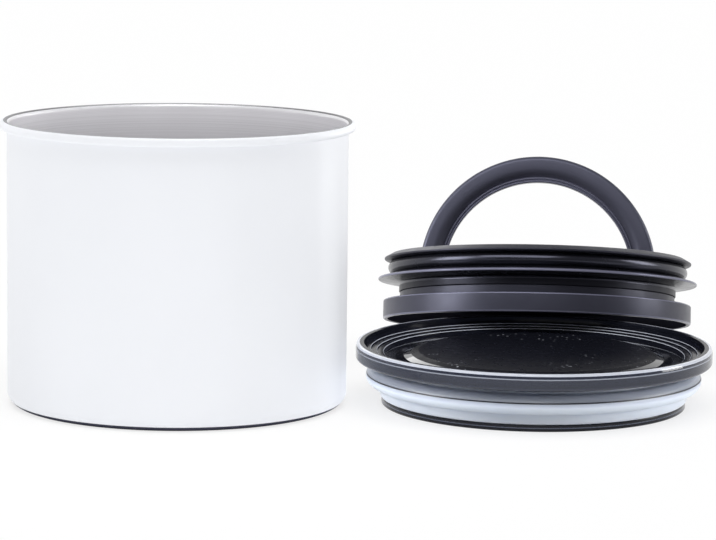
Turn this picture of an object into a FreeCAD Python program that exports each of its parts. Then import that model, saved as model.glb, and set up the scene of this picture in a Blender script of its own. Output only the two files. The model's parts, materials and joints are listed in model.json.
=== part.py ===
"""Coffee canister with a plunging inner lid, a valve worked by the lid's handle, and a see-through outer lid.

The pieces stand as they are laid out for use: the canister upright, the outer lid flat beside it, and
the inner lid leaning back on the outer lid's rear edge with its handle up. Lengths are in millimetres and
angles in degrees. The origin is the centre of the canister's base, +Z is up, +X runs to the lids and -Y is
the front.
"""
import FreeCAD
import Part
import Sketcher
import math
import os

SIZES = {
    # Canister: a drawn steel pot whose rim is rolled outwards
    "canister_height": 101.6,
    "bore_radius": 60.2,
    "shell_wall": 0.6,
    "base_corner": 4.5,
    "rim_roll": 1.6,
    "rim_tuck": 60.0,
    # Outer lid: a shallow dish on a hollow plug, with a bulb gasket round the plug
    "outer_lid_height": 21.8,
    "outer_lid_overhang": 0.8,
    "edge_bevel": 2.2,
    "skirt_depth": 6.0,
    "skirt_round": 1.2,
    "edge_land": 1.0,
    "dish_first_drop": 2.2,
    "dish_step_drop": 0.6,
    "dish_step_width": 2.3,
    "moat_width": 7.1,
    "moat_drop": 0.6,
    "disc_bevel": 5.5,
    "disc_rise": 1.7,
    "dish_floor": 2.0,
    "plug_inset": 5.4,
    "plug_wall": 2.6,
    "plug_lip": 2.4,
    "plug_lip_height": 2.6,
    "bulb_squeeze": 0.2,
    "bulb_radius_share": 0.302,
    "bulb_height_share": 0.638,
    "band_thickness": 2.8,
    "band_gap": 1.6,
    # Inner lid: drum and base below, gasket above them, flange on top
    "drum_clearance": 0.4,
    "drum_height": 7.4,
    "drum_skin": 1.6,
    "drum_edge": 0.8,
    "seat_ledge": 0.8,
    "base_inset": 0.2,
    "base_thickness": 1.6,
    "neck_inset": 6.4,
    "hub_lap": 0.9,
    "hub_ledge": 5.4,
    "tray_floor": 1.8,
    "recess_fillet": 1.5,
    "neck_gap": 3.3,
    "gasket_shoulder": 0.9,
    "cup_wall": 1.4,
    "flange_clearance": 0.5,
    "flange_thickness": 2.9,
    "flange_round": 0.6,
    "flange_slope": 3.0,
    "flange_relief": 0.6,
    "flange_tip": 0.5,
    # Plunger gasket: a bead under the flange and a fin that wipes the canister's wall
    "gasket_height": 11.8,
    "gasket_foot": 1.2,
    "gasket_waist": 4.0,
    "bead_height": 4.8,
    "bead_radius": 2.6,
    "fin_squeeze": 1.8,
    "fin_level": 4.95,
    "fin_tip": 0.5,
    "fin_droop": 1.65,
    # Handle on its pivot rod
    "rod_radius": 2.0,
    "rod_above_floor": 9.8,
    "arm_tail": 4.4,
    "arch_rise": 0.7,
    "arch_gap": 5.1,
    "arch_band": 7.9,
    "arch_depth": 8.4,
    "arch_round": 2.4,
    "arch_inner_round": 1.9,
    "lip_width": 2.1,
    "lip_depth": 4.4,
    # Valve in the well under the rod
    "valve_travel": 1.6,
    "seat_gap": 0.1,
    "disc_thickness": 1.4,
    "disc_width": 4.8,
    "disc_gap": 0.9,
    "plate_thickness": 1.4,
    "well_radius": 14.0,
    "well_wall": 1.6,
    "well_floor": 1.6,
    "stem_radius": 2.0,
    "vent_radius": 1.4,
    "cover_lap": 3.0,
    "cover_thickness": 1.6,
    "cover_edge": 0.4,
    "cover_skirt": 1.3,
    "cover_skirt_wall": 1.0,
    "cover_vent_radius": 1.2,
    "cam_radius": 4.0,
    "cam_width": 6.0,
    "yoke_bar": 1.5,
    "yoke_width": 8.0,
    # Fits and clearances
    "running_fit": 0.06,
    "keyed_fit": 0.02,
    "close_fit": 0.1,
    "moving_gap": 0.3,
    # Layout of the lids beside the canister
    "side_gap": 0.7,
    "outer_lid_y": 3.2,
    "lean_tilt": 13.1,
    "lean_azimuth": 3.5,
    "rest_gap": 0.3,
}
DISH_STEPS = 3
VENT_COUNT = 6
COVER_VENT_COUNT = 8

doc = FreeCAD.newDocument("coffee_canister")
sheet = doc.addObject("Spreadsheet::Sheet", "Sizes")
for row, (alias, number) in enumerate(SIZES.items(), start=1):
    sheet.set(f"A{row}", alias)
    sheet.set(f"B{row}", str(number))
    sheet.setAlias(f"B{row}", alias)
doc.recompute()


class Size:
    """A length or angle that keeps the sheet expression it comes from beside its value."""

    def __init__(self, value, text):
        self.value = value
        self.text = text

    def __add__(self, other):
        other = as_size(other)
        return Size(self.value + other.value, f"({self.text} + {other.text})")

    def __sub__(self, other):
        other = as_size(other)
        return Size(self.value - other.value, f"({self.text} - {other.text})")

    def __mul__(self, other):
        other = as_size(other)
        return Size(self.value * other.value, f"({self.text} * {other.text})")

    def __truediv__(self, other):
        other = as_size(other)
        return Size(self.value / other.value, f"({self.text} / {other.text})")

    def __neg__(self):
        return Size(-self.value, f"(0 - {self.text})")


def as_size(number):
    """Turns a plain number into a Size."""
    if isinstance(number, Size):
        return number
    return Size(float(number), f"{number:.9f}")


def cell(alias):
    """The size held by one cell of the sheet."""
    return Size(float(sheet.get(alias)), f"Sizes.{alias}")


def cosine(angle):
    return Size(math.cos(math.radians(angle.value)), f"cos({angle.text} * 1 deg)")


def sine(angle):
    return Size(math.sin(math.radians(angle.value)), f"sin({angle.text} * 1 deg)")


# Sketches and features


def new_body(label):
    body = doc.addObject("PartDesign::Body", label)
    body.Label = label
    return body


def new_sketch(body, role):
    """An empty sketch on one of the body's own origin planes."""
    sketch = body.newObject("Sketcher::SketchObject", f"{body.Name}_sketch")
    planes = [feature for feature in body.Origin.OriginFeatures if feature.Role == role]
    sketch.AttachmentSupport = [(planes[0], "")]
    sketch.MapMode = "FlatFace"
    return sketch


def bind_point(sketch, geometry, end, point):
    """Ties one end of a sketch element to its two coordinates."""
    for kind, axis, coordinate in (("DistanceX", -2, point[0]), ("DistanceY", -1, point[1])):
        coordinate = as_size(coordinate)
        if abs(coordinate.value) < 1e-9:
            sketch.addConstraint(Sketcher.Constraint("PointOnObject", geometry, end, axis))
        else:
            index = sketch.addConstraint(Sketcher.Constraint(kind, geometry, end, coordinate.value))
            sketch.setExpression(f"Constraints[{index}]", coordinate.text)


def add_arc(sketch, start, finish, radius):
    """Arc under a half circle from start to finish. It bulges left of the way there, or right if negative."""
    middle = (start + finish) / 2
    chord = finish - start
    left = FreeCAD.Vector(-chord.y, chord.x, 0) / chord.Length
    rise = math.sqrt(max(radius.value ** 2 - (chord.Length / 2) ** 2, 0.0))
    clockwise = radius.value > 0
    centre = middle - left * rise if clockwise else middle + left * rise
    first, last = (finish, start) if clockwise else (start, finish)
    begin = math.atan2(first.y - centre.y, first.x - centre.x)
    end = math.atan2(last.y - centre.y, last.x - centre.x)
    if end <= begin:
        end += 2 * math.pi
    circle = Part.Circle(centre, FreeCAD.Vector(0, 0, 1), abs(radius.value))
    geometry = sketch.addGeometry(Part.ArcOfCircle(circle, begin, end))
    size = radius if clockwise else -radius
    index = sketch.addConstraint(Sketcher.Constraint("Radius", geometry, size.value))
    sketch.setExpression(f"Constraints[{index}]", size.text)
    return geometry, (2, 1) if clockwise else (1, 2)


def draw_outline(sketch, points):
    """Closed outline. A point is (u, v), or (u, v, radius) where the stretch to the next point is an arc."""
    corners = [FreeCAD.Vector(as_size(p[0]).value, as_size(p[1]).value, 0) for p in points]
    drawn = []
    for number, point in enumerate(points):
        start = corners[number]
        finish = corners[(number + 1) % len(points)]
        if len(point) == 3:
            drawn.append(add_arc(sketch, start, finish, point[2]))
        else:
            drawn.append((sketch.addGeometry(Part.LineSegment(start, finish)), (1, 2)))
    for number, (geometry, ends) in enumerate(drawn):
        bind_point(sketch, geometry, ends[0], points[number])
        following, following_ends = drawn[(number + 1) % len(drawn)]
        joined = Sketcher.Constraint("Coincident", geometry, ends[1], following, following_ends[0])
        sketch.addConstraint(joined)


def draw_circle(sketch, centre, radius):
    place = FreeCAD.Vector(as_size(centre[0]).value, as_size(centre[1]).value, 0)
    geometry = sketch.addGeometry(Part.Circle(place, FreeCAD.Vector(0, 0, 1), radius.value))
    index = sketch.addConstraint(Sketcher.Constraint("Radius", geometry, radius.value))
    sketch.setExpression(f"Constraints[{index}]", radius.text)
    bind_point(sketch, geometry, 3, centre)


def rectangle(low, high):
    return [(low[0], low[1]), (high[0], low[1]), (high[0], high[1]), (low[0], high[1])]


def mirrored(points):
    """The same outline on the other side of the vertical axis."""
    return [(-point[0], point[1], *[-radius for radius in point[2:]]) for point in points]


def turn(body, points):
    """Turns an outline of (radius, height) points once round the body's Z axis."""
    sketch = new_sketch(body, "XZ_Plane")
    draw_outline(sketch, points)
    revolution = body.newObject("PartDesign::Revolution", f"{body.Name}_turn")
    revolution.Profile = sketch
    revolution.ReferenceAxis = (sketch, ["V_Axis"])
    revolution.Angle = 360
    doc.recompute()


def pad(body, sketch, length, symmetric=False, downwards=False):
    feature = body.newObject("PartDesign::Pad", f"{body.Name}_pad")
    feature.Profile = sketch
    feature.setExpression("Length", length.text)
    feature.Reversed = downwards
    if symmetric:
        feature.SideType = "Symmetric"
    doc.recompute()


def cut_through(body, sketch, symmetric=False):
    """Pocket through everything: both ways from the sketch, or up along its normal."""
    before = body.Shape.Volume
    feature = body.newObject("PartDesign::Pocket", f"{body.Name}_cut")
    feature.Profile = sketch
    feature.Type = "ThroughAll"
    if symmetric:
        feature.SideType = "Symmetric"
    else:
        feature.Reversed = True
    doc.recompute()
    if body.Shape.Volume >= before:
        raise RuntimeError(f"{feature.Name} removes nothing")
    return feature


def ring_of(body, feature, sketch, count):
    """Repeats a cut evenly round the body's Z axis."""
    pattern = body.newObject("PartDesign::PolarPattern", f"{body.Name}_ring")
    pattern.Originals = [feature]
    pattern.Axis = (sketch, ["N_Axis"])
    pattern.Angle = 360
    pattern.Occurrences = count
    body.Tip = pattern
    doc.recompute()


# Sizes that several pieces share

bore = cell("bore_radius")
wall = cell("shell_wall")
rim_roll = cell("rim_roll")
rim_radius = bore + rim_roll * 2
travel = cell("valve_travel")
moving_gap = cell("moving_gap")

# Outer lid heights and radii, from its own base
outer_edge = rim_radius + cell("outer_lid_overhang")
outer_top = cell("outer_lid_height")
skirt_bottom = outer_top - cell("skirt_depth")
plug_lip_radius = bore - cell("plug_inset")
plug_radius = plug_lip_radius - cell("plug_lip")
plug_bore = plug_radius - cell("plug_wall")

# Inner lid heights and radii, from its own base
drum_radius = bore - cell("drum_clearance")
drum_height = cell("drum_height")
base_top = cell("base_inset") + cell("base_thickness")
neck_radius = drum_radius - cell("neck_inset")
floor_under = drum_height - cell("hub_lap")
recess_floor = floor_under + cell("tray_floor")
shoulder = drum_height + cell("neck_gap")
seat_radius = neck_radius - cell("gasket_shoulder")
recess_radius = seat_radius - cell("cup_wall")
flange_under = shoulder + cell("gasket_height") + cell("close_fit")
flange_top = flange_under + cell("flange_thickness")
rod_height = recess_floor + cell("rod_above_floor")

# The valve's stack hangs from the recess floor, so that its plate always clears the cover
plate_top = recess_floor - moving_gap
disc_top = plate_top - cell("plate_thickness")
disc_bottom = disc_top - cell("disc_thickness")
well_top = disc_bottom - travel - cell("seat_gap")
well_bottom = well_top - cell("well_floor")
well_radius = cell("well_radius")
well_outer = well_radius + cell("well_wall")
cover_skirt_outer = well_radius - cell("close_fit")
cover_skirt_inner = cover_skirt_outer - cell("cover_skirt_wall")
disc_outer = cover_skirt_inner - cell("disc_gap")
disc_inner = disc_outer - cell("disc_width")
vent_circle = (disc_inner + disc_outer) / 2
guide_radius = cell("stem_radius") + cell("running_fit")
# A quarter turn that runs from 45 degrees above level to 45 below it moves the cam by root two of its offset
cam_offset = travel / math.sqrt(2)
cam_reach = cell("cam_radius") + moving_gap
yoke_half = cell("cam_radius") + cam_offset + moving_gap + cell("yoke_bar")


# Canister


def make_canister():
    body = new_body("canister_shell")
    corner = cell("base_corner")
    tuck = cell("rim_tuck")
    roll_inside = rim_roll - wall
    roll_centre = bore + rim_roll
    roll_height = cell("canister_height") - rim_roll
    turn(body, [
        (0, 0),
        (bore + wall - corner, 0, -corner),
        (bore + wall, corner),
        (bore + wall, roll_height, roll_inside),
        (roll_centre, roll_height + roll_inside, roll_inside),
        (roll_centre + roll_inside * cosine(tuck), roll_height - roll_inside * sine(tuck)),
        (roll_centre + rim_roll * cosine(tuck), roll_height - rim_roll * sine(tuck), -rim_roll),
        (roll_centre, roll_height + rim_roll, -rim_roll),
        (bore, roll_height),
        (bore, corner, corner - wall),
        (bore + wall - corner, wall),
        (0, wall),
    ])
    return body


# Outer lid


def make_outer_lid():
    body = new_body("outer_lid_shell")
    bevel = cell("edge_bevel")
    skirt_round = cell("skirt_round")
    step_drop = cell("dish_step_drop")
    radius = outer_edge - bevel - cell("edge_land")
    height = outer_top - cell("dish_first_drop")
    stairs = [(radius, outer_top), (radius, height)]
    for _ in range(DISH_STEPS):
        radius = radius - cell("dish_step_width")
        stairs.append((radius, height))
        height = height - step_drop
        stairs.append((radius, height))
    moat = height - cell("moat_drop")
    moat_inner = radius - cell("moat_width")
    disc_radius = moat_inner - cell("disc_bevel")
    under = moat - cell("dish_floor")
    turn(body, [
        (0, under + cell("disc_rise")),
        (disc_radius, under + cell("disc_rise")),
        (moat_inner, under),
        (plug_bore, under),
        (plug_bore, 0),
        (plug_lip_radius, 0),
        (plug_lip_radius, cell("plug_lip_height")),
        (plug_radius, cell("plug_lip_height")),
        (plug_radius, skirt_bottom),
        (outer_edge - skirt_round, skirt_bottom, -skirt_round),
        (outer_edge, skirt_bottom + skirt_round),
        (outer_edge, outer_top - bevel, -bevel),
        (outer_edge - bevel, outer_top),
    ] + stairs + [
        (radius - cell("moat_drop"), moat),
        (moat_inner, moat),
        (disc_radius, moat + cell("disc_rise")),
        (0, moat + cell("disc_rise")),
    ])
    return body


def make_outer_gasket():
    """Band round the plug, standing on the plug's lip, with a round bulb that meets the canister's wall."""
    body = new_body("outer_lid_gasket")
    inner = plug_radius + cell("close_fit")
    outer = plug_radius + cell("band_thickness")
    bottom = cell("plug_lip_height")
    top = skirt_bottom - cell("band_gap")
    bulb = (top - bottom) * cell("bulb_radius_share")
    level = bottom + (top - bottom) * cell("bulb_height_share")
    crown = bore + cell("bulb_squeeze")
    turn(body, [
        (inner, bottom),
        (outer, bottom),
        (outer, level - bulb),
        (crown - bulb, level - bulb, -bulb),
        (crown, level, -bulb),
        (crown - bulb, level + bulb),
        (outer, level + bulb),
        (outer, top),
        (inner, top),
    ])
    return body


# Inner lid


def make_tray():
    """Flange, cup and valve well in one moulding, drilled for the rod and the vents."""
    body = new_body("lid_tray")
    rounding = cell("flange_round")
    fillet = cell("recess_fillet")
    flange_radius = bore - cell("flange_clearance")
    gasket_edge = seat_radius + cell("close_fit") + cell("gasket_waist")
    tip = cell("flange_tip")
    tip_under = flange_under + cell("flange_relief")
    turn(body, [
        (guide_radius, well_bottom),
        (well_outer, well_bottom),
        (well_outer, floor_under),
        (neck_radius, floor_under),
        (neck_radius, shoulder),
        (seat_radius, shoulder),
        (seat_radius, flange_under),
        (gasket_edge, flange_under),
        (flange_radius - tip, tip_under, -tip),
        (flange_radius, tip_under + tip),
        (flange_radius - cell("flange_slope"), flange_top),
        (recess_radius + rounding, flange_top, -rounding),
        (recess_radius, flange_top - rounding),
        (recess_radius, recess_floor + fillet, fillet),
        (recess_radius - fillet, recess_floor),
        (well_radius, recess_floor),
        (well_radius, well_top),
        (guide_radius, well_top),
    ])
    rod_holes = new_sketch(body, "YZ_Plane")
    draw_circle(rod_holes, (0, rod_height), cell("rod_radius") + cell("running_fit"))
    cut_through(body, rod_holes, symmetric=True)
    vent = new_sketch(body, "XY_Plane")
    draw_circle(vent, (vent_circle, 0), cell("vent_radius"))
    ring_of(body, cut_through(body, vent), vent, VENT_COUNT)
    return body


def make_plunger_gasket():
    """Ring in the seat under the flange, with a round bead above and a wiping fin below it."""
    body = new_body("plunger_gasket")
    inner = seat_radius + cell("close_fit")
    foot = inner + cell("gasket_foot")
    waist = inner + cell("gasket_waist")
    top = shoulder + cell("gasket_height")
    bead_bottom = top - cell("bead_height")
    tip_radius = cell("fin_tip")
    tip = bore + cell("fin_squeeze")
    level = shoulder + cell("fin_level")
    turn(body, [
        (inner, shoulder),
        (foot, shoulder),
        (foot, level - cell("fin_droop")),
        (tip - tip_radius, level - tip_radius, -tip_radius),
        (tip, level, -tip_radius),
        (tip - tip_radius, level + tip_radius),
        (waist, bead_bottom, -cell("bead_radius")),
        (waist, top),
        (inner, top),
    ])
    return body


def make_drum():
    """Hollow drum that guides the lid down the bore. It grips the tray's floor and is open below."""
    body = new_body("guide_drum")
    skin = cell("drum_skin")
    edge = cell("drum_edge")
    hub_bore = neck_radius + cell("close_fit")
    ledge = hub_bore - cell("hub_ledge")
    seat = drum_radius - skin
    inside = seat - cell("seat_ledge")
    turn(body, [
        (ledge, floor_under - skin),
        (hub_bore + skin, floor_under - skin),
        (hub_bore + skin, drum_height - skin),
        (inside, drum_height - skin),
        (inside, base_top),
        (seat, base_top),
        (seat, 0),
        (drum_radius - edge, 0, -edge),
        (drum_radius, edge),
        (drum_radius, drum_height - edge, -edge),
        (drum_radius - edge, drum_height),
        (hub_bore, drum_height),
        (hub_bore, floor_under),
        (ledge, floor_under),
    ])
    return body


def make_base():
    """Plate that closes the drum from below, open round the valve's well."""
    body = new_body("base_plate")
    rim = drum_radius - cell("drum_skin") - cell("close_fit")
    opening = well_outer + cell("close_fit")
    turn(body, [
        (opening, cell("base_inset")),
        (rim, cell("base_inset")),
        (rim, base_top),
        (opening, base_top),
    ])
    return body


# Valve


def make_cover():
    """Vented cap over the well, with a slot for the plunger's yoke."""
    body = new_body("valve_cover")
    edge = cell("cover_edge")
    radius = well_radius + cell("cover_lap")
    top = recess_floor + cell("cover_thickness")
    turn(body, [
        (0, recess_floor),
        (cover_skirt_inner, recess_floor),
        (cover_skirt_inner, recess_floor - cell("cover_skirt")),
        (cover_skirt_outer, recess_floor - cell("cover_skirt")),
        (cover_skirt_outer, recess_floor),
        (radius, recess_floor),
        (radius, top - edge, -edge),
        (radius - edge, top),
        (0, top),
    ])
    slot = new_sketch(body, "XY_Plane")
    half = cell("yoke_width") / 2 + moving_gap
    reach = yoke_half + moving_gap
    draw_outline(slot, rectangle((-half, -reach), (half, reach)))
    cut_through(body, slot)
    vent = new_sketch(body, "XY_Plane")
    vent_middle = cover_skirt_inner - moving_gap - cell("cover_vent_radius")
    draw_circle(vent, (vent_middle, 0), cell("cover_vent_radius"))
    ring_of(body, cut_through(body, vent), vent, COVER_VENT_COUNT)
    return body


def make_plunger():
    """Plate on a guided stem, with a yoke above that closes round the cam."""
    body = new_body("valve_plunger")
    stem = cell("stem_radius")
    turn(body, [
        (0, well_bottom + cell("seat_gap")),
        (stem, well_bottom + cell("seat_gap")),
        (stem, disc_top),
        (disc_outer, disc_top),
        (disc_outer, plate_top),
        (0, plate_top),
    ])
    window_middle = rod_height + travel / 2
    window_half = yoke_half - cell("yoke_bar")
    window_bottom = window_middle - cam_reach
    window_top = window_middle + cam_reach
    yoke_top = window_top + cell("yoke_bar")
    yoke = new_sketch(body, "YZ_Plane")
    draw_outline(yoke, rectangle((-yoke_half, plate_top), (yoke_half, yoke_top)))
    draw_outline(yoke, rectangle((-window_half, window_bottom), (window_half, window_top)))
    pad(body, yoke, cell("yoke_width"), symmetric=True)
    return body


def make_disc():
    """Soft ring under the plunger's plate that shuts the vents."""
    body = new_body("valve_disc")
    turn(body, [
        (disc_inner, disc_bottom),
        (disc_outer, disc_bottom),
        (disc_outer, disc_top),
        (disc_inner, disc_top),
    ])
    return body


def make_cam():
    """Round cam set off from the rod, towards the rear and up while the handle stands."""
    body = new_body("valve_cam")
    sketch = new_sketch(body, "YZ_Plane")
    aside = cam_offset / math.sqrt(2)
    draw_circle(sketch, (aside, rod_height + aside), cell("cam_radius"))
    draw_circle(sketch, (0, rod_height), cell("rod_radius") + cell("keyed_fit"))
    pad(body, sketch, cell("cam_width"), symmetric=True)
    return body


# Handle


def make_handle():
    """Half-ring bail on two short legs, with a thin lip along its inner side, drilled for the rod."""
    body = new_body("handle")
    outer = recess_radius - cell("arch_gap")
    inner = outer - cell("arch_band")
    lip = inner - cell("lip_width")
    half = cell("arch_depth") / 2
    lip_half = cell("lip_depth") / 2
    outer_round = cell("arch_round")
    inner_round = cell("arch_inner_round")
    outline = [
        (lip, -lip_half),
        (inner, -lip_half),
        (inner, inner_round - half, -inner_round),
        (inner + inner_round, -half),
        (outer - outer_round, -half, -outer_round),
        (outer, outer_round - half),
        (outer, half - outer_round, -outer_round),
        (outer - outer_round, half),
        (inner + inner_round, half, -inner_round),
        (inner, half - inner_round),
        (inner, lip_half),
        (lip, lip_half),
    ]
    section = new_sketch(body, "XY_Plane")
    draw_outline(section, outline)
    arch = body.newObject("PartDesign::Revolution", "handle_arch")
    arch.Profile = section
    arch.ReferenceAxis = (section, ["V_Axis"])
    arch.Angle = 180
    arch.Reversed = True
    doc.recompute()
    legs = new_sketch(body, "XY_Plane")
    draw_outline(legs, outline)
    draw_outline(legs, mirrored(outline))
    pad(body, legs, cell("arch_rise") + cell("arm_tail"), downwards=True)
    holes = new_sketch(body, "YZ_Plane")
    draw_circle(holes, (0, -cell("arch_rise")), cell("rod_radius") + cell("keyed_fit"))
    cut_through(body, holes, symmetric=True)
    return body


def make_rod():
    """Pivot rod from wall to wall of the cup, held in endways by the gasket round it."""
    rod = doc.addObject("Part::Cylinder", "pivot_rod")
    rod.Label = "pivot_rod"
    rod.setExpression("Radius", cell("rod_radius").text)
    rod.setExpression("Height", ((seat_radius - cell("close_fit")) * 2).text)
    return rod


# Layout


def leaning_place():
    """Place of the inner lid: drum on the table at the rear, base on the outer lid's rear edge."""
    tilt = math.radians(cell("lean_tilt").value)
    azimuth = math.radians(cell("lean_azimuth").value)
    edge = cell("drum_edge").value
    bevel = cell("edge_bevel").value
    height = (drum_radius.value - edge) * math.sin(tilt) + edge * (1 - math.cos(tilt))
    # Centre of the rounded edge that carries the base, and its distance below the base
    edge_radius = outer_edge.value - bevel
    edge_height = outer_top.value - bevel
    below = bevel + cell("rest_gap").value - cell("base_inset").value
    distance = edge_radius + (below + (edge_height - height) * math.cos(tilt)) / math.sin(tilt)
    lid_x = (rim_radius + outer_edge + cell("side_gap")).value
    lid_y = cell("outer_lid_y").value
    base_x = lid_x + distance * math.sin(azimuth)
    base_y = lid_y + distance * math.cos(azimuth)
    swing = FreeCAD.Rotation(FreeCAD.Vector(0, 0, 1), -cell("lean_azimuth").value)
    lean = FreeCAD.Rotation(FreeCAD.Vector(1, 0, 0), -cell("lean_tilt").value)
    return FreeCAD.Placement(FreeCAD.Vector(base_x, base_y, height), swing.multiply(lean))


def shifted(place, x, y, z):
    """The same placement, moved along its own axes."""
    return place.multiply(FreeCAD.Placement(FreeCAD.Vector(x, y, z), FreeCAD.Rotation()))


canister = make_canister()
outer_pieces = [make_outer_lid(), make_outer_gasket()]
inner_pieces = [
    make_tray(), make_plunger_gasket(), make_drum(), make_base(),
    make_cover(), make_plunger(), make_disc(), make_cam(),
]
handle = make_handle()
rod = make_rod()

for piece in outer_pieces:
    piece.setExpression("Placement.Base.x", (rim_radius + outer_edge + cell("side_gap")).text)
    piece.setExpression("Placement.Base.y", cell("outer_lid_y").text)
leaning = leaning_place()
for piece in inner_pieces:
    piece.Placement = leaning
handle.Placement = shifted(leaning, 0, 0, (rod_height + cell("arch_rise")).value)
along_x = FreeCAD.Placement(FreeCAD.Vector(0, 0, 0), FreeCAD.Rotation(FreeCAD.Vector(0, 1, 0), 90))
rod_end = (seat_radius - cell("close_fit")).value
rod.Placement = shifted(leaning, -rod_end, 0, rod_height.value).multiply(along_x)
doc.recompute()

# Every object has to be sound before anything is written

pieces = [canister] + outer_pieces + inner_pieces + [handle, rod]
for item in doc.Objects:
    if "Invalid" in item.State or "Error" in item.State:
        raise RuntimeError(f"{item.Label} failed: {item.State}")
for piece in pieces:
    if piece.Shape.isNull() or not piece.Shape.isValid() or len(piece.Shape.Solids) != 1:
        raise RuntimeError(f"{piece.Label} is not one sound solid")

os.makedirs("parts", exist_ok=True)
for piece in pieces:
    piece.Shape.exportStep(f"parts/{piece.Label}.step")
    box = piece.Shape.BoundBox
    low = f"({box.XMin:.1f}, {box.YMin:.1f}, {box.ZMin:.2f})"
    high = f"({box.XMax:.1f}, {box.YMax:.1f}, {box.ZMax:.1f})"
    print(f"{piece.Label}: {piece.Shape.Volume:.0f} mm3 from {low} to {high}")
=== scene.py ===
"""Looks of a coffee canister with its two lids laid out beside it.

Outlines are in millimetres, as (radius, height) from the axis and base of the piece they belong to. The
pieces are turned from them in metres, in the frame's own places.
"""

import json
import math

import bmesh
import bpy
from mathutils import Matrix, Vector


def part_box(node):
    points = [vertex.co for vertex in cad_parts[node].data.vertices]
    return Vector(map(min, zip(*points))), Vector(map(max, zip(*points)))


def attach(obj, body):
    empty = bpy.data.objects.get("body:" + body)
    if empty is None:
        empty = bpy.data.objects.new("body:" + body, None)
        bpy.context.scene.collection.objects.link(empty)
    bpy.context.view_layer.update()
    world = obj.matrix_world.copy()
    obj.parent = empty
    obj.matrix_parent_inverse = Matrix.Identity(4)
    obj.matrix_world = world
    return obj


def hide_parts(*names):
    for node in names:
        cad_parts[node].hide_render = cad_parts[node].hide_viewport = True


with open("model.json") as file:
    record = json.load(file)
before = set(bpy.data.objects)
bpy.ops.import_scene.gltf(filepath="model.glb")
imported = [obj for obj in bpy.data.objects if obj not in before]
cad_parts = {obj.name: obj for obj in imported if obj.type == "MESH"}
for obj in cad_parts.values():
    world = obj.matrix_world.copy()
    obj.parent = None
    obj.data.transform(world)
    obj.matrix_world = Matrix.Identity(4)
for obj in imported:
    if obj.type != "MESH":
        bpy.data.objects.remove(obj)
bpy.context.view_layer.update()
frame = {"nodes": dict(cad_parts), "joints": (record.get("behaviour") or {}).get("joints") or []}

MM = 0.001
SEGMENTS = 192
ARC_STEPS = 8
ARCH_STEPS = 96
HOLE_SEGMENTS = 40
WELD = 1e-7
SHARP = math.radians(40)


# Places of the pieces


def reach(node, place):
    """Outer radius, lowest and highest point of a node about a place's own axis, in millimetres."""
    back = place.inverted()
    points = [back @ vertex.co for vertex in frame["nodes"][node].data.vertices]
    radius = max(math.hypot(point.x, point.y) for point in points)
    heights = [point.z for point in points]
    return radius / MM, min(heights) / MM, max(heights) / MM


def axes_at(across, back, up, origin):
    """Place with the three given axes at an origin."""
    return Matrix((
        (across.x, back.x, up.x, origin.x),
        (across.y, back.y, up.y, origin.y),
        (across.z, back.z, up.z, origin.z),
        (0, 0, 0, 1),
    ))


UPRIGHT = Matrix.Identity(4)
SIDEWAYS = Matrix.Rotation(math.pi / 2, 4, "Y")

lid_low, lid_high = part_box("outer_lid_shell")
BESIDE = Matrix.Translation(((lid_low.x + lid_high.x) / 2, (lid_low.y + lid_high.y) / 2, 0))

joints = {joint["name"]: joint for joint in frame["joints"]}
lid_up = Vector(joints["inner_lid_lift"]["axis"]).normalized()
lid_across = -Vector(joints["handle_fold"]["axis"]).normalized()
lid_back = lid_up.cross(lid_across)
rod_place = axes_at(lid_across, lid_back, lid_up, Vector(joints["handle_fold"]["pos_m"]))
ROD_HEIGHT = -reach("guide_drum", rod_place)[1]
LEANING = rod_place @ Matrix.Translation((0, 0, -ROD_HEIGHT * MM))

# Sizes in millimetres

FIT = 0.1

RIM_RADIUS, _, CANISTER_HEIGHT = reach("canister_shell", UPRIGHT)
RIM_ROLL = 1.6
SHELL_WALL = 0.6
BASE_CORNER = 4.5
BORE = RIM_RADIUS - 2 * RIM_ROLL

LID_EDGE, _, LID_TOP = reach("outer_lid_shell", BESIDE)
SKIRT_WIDTH = 11.8
SKIRT_DEPTH = 6.0
PLUG_RADIUS = LID_EDGE - SKIRT_WIDTH
SKIRT_BOTTOM = LID_TOP - SKIRT_DEPTH

BULB_CROWN, BAND_BOTTOM, BAND_TOP = reach("outer_lid_gasket", BESIDE)
BAND_HEIGHT = BAND_TOP - BAND_BOTTOM
BULB_RADIUS = 0.302 * BAND_HEIGHT
BULB_LEVEL = BAND_BOTTOM + 0.638 * BAND_HEIGHT
BULB_TOP = BULB_LEVEL + BULB_RADIUS
BULB_BOTTOM = BULB_LEVEL - BULB_RADIUS
BULB_GROOVE = BULB_LEVEL + 0.31 * BULB_RADIUS

DRUM_RADIUS, _, DRUM_HEIGHT = reach("guide_drum", LEANING)
BASE_RADIUS, BASE_LOW, BASE_HIGH = reach("base_plate", LEANING)
FLANGE_RADIUS, WELL_BOTTOM, FLANGE_TOP = reach("lid_tray", LEANING)
FIN_RADIUS, SHOULDER, RING_TOP = reach("plunger_gasket", LEANING)
DRUM_LEDGE = 6.4
SEAT_STEP = 0.9
CUP_WALL = 1.4
RECESS_RISE = 0.9
FLOOR_THICKNESS = 1.8
NECK_RADIUS = DRUM_RADIUS - DRUM_LEDGE
SEAT_RADIUS = NECK_RADIUS - SEAT_STEP
RECESS_RADIUS = SEAT_RADIUS - CUP_WALL
RECESS_FLOOR = DRUM_HEIGHT + RECESS_RISE
FLOOR_UNDER = RECESS_FLOOR - FLOOR_THICKNESS
WELL_RADIUS = 14.0
WELL_WALL = 1.6
ROD_RADIUS = 2.0

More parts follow.
